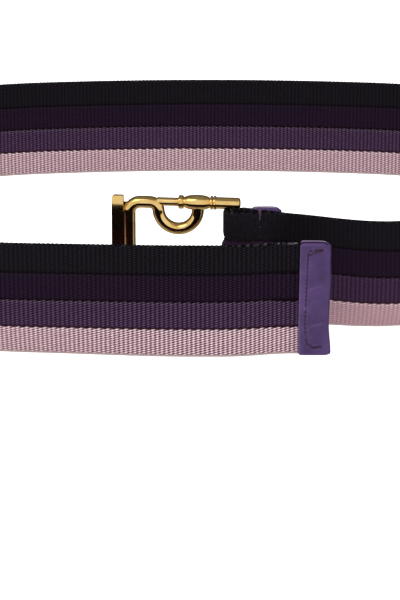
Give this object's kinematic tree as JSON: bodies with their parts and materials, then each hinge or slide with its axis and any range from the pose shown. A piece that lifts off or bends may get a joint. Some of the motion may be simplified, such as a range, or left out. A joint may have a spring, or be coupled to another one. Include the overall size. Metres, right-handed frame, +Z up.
{
  "type": "fabric belt",
  "caption": "Waist belt of ribbed webbing in colour bands, standing as an open loop, with a rod buckle on a folded end and a leather tip.",
  "frame": {"origin": "on the floor, under the middle of the whole belt as it stands on its edge in a loop", "axes": "+X along the tail towards its tip, +Y from the tail across the loop to its far side, +Z up across the webbing's width"},
  "size_m": [0.344, 0.2372, 0.0501],
  "materials": {
    "black_webbing": "ribbed woven webbing, dull with a faint sheen",
    "aubergine_webbing": "ribbed woven webbing, dull with a faint sheen",
    "purple_webbing": "ribbed woven webbing, dull with a faint sheen",
    "pink_webbing": "ribbed woven webbing, dull with dark specks between the floats",
    "purple_leather": "smooth semi-gloss leather with pale creases",
    "gold_metal": "polished gold plating"
  },
  "bodies": {
    "belt": {"webbing_black": "black_webbing", "webbing_aubergine": "aubergine_webbing", "webbing_purple": "purple_webbing", "webbing_pink": "pink_webbing", "tip_leather": "purple_leather", "fold_leather": "purple_leather"},
    "buckle": {"buckle_frame": "gold_metal"}
  },
  "joints": [
    {"name": "buckle_swing", "type": "hinge", "parent": "belt", "child": "buckle", "pos_m": [0.01181, -0.0919, 0], "axis": [0, 0, 1], "range_deg": [-80, 30]}
  ]
}
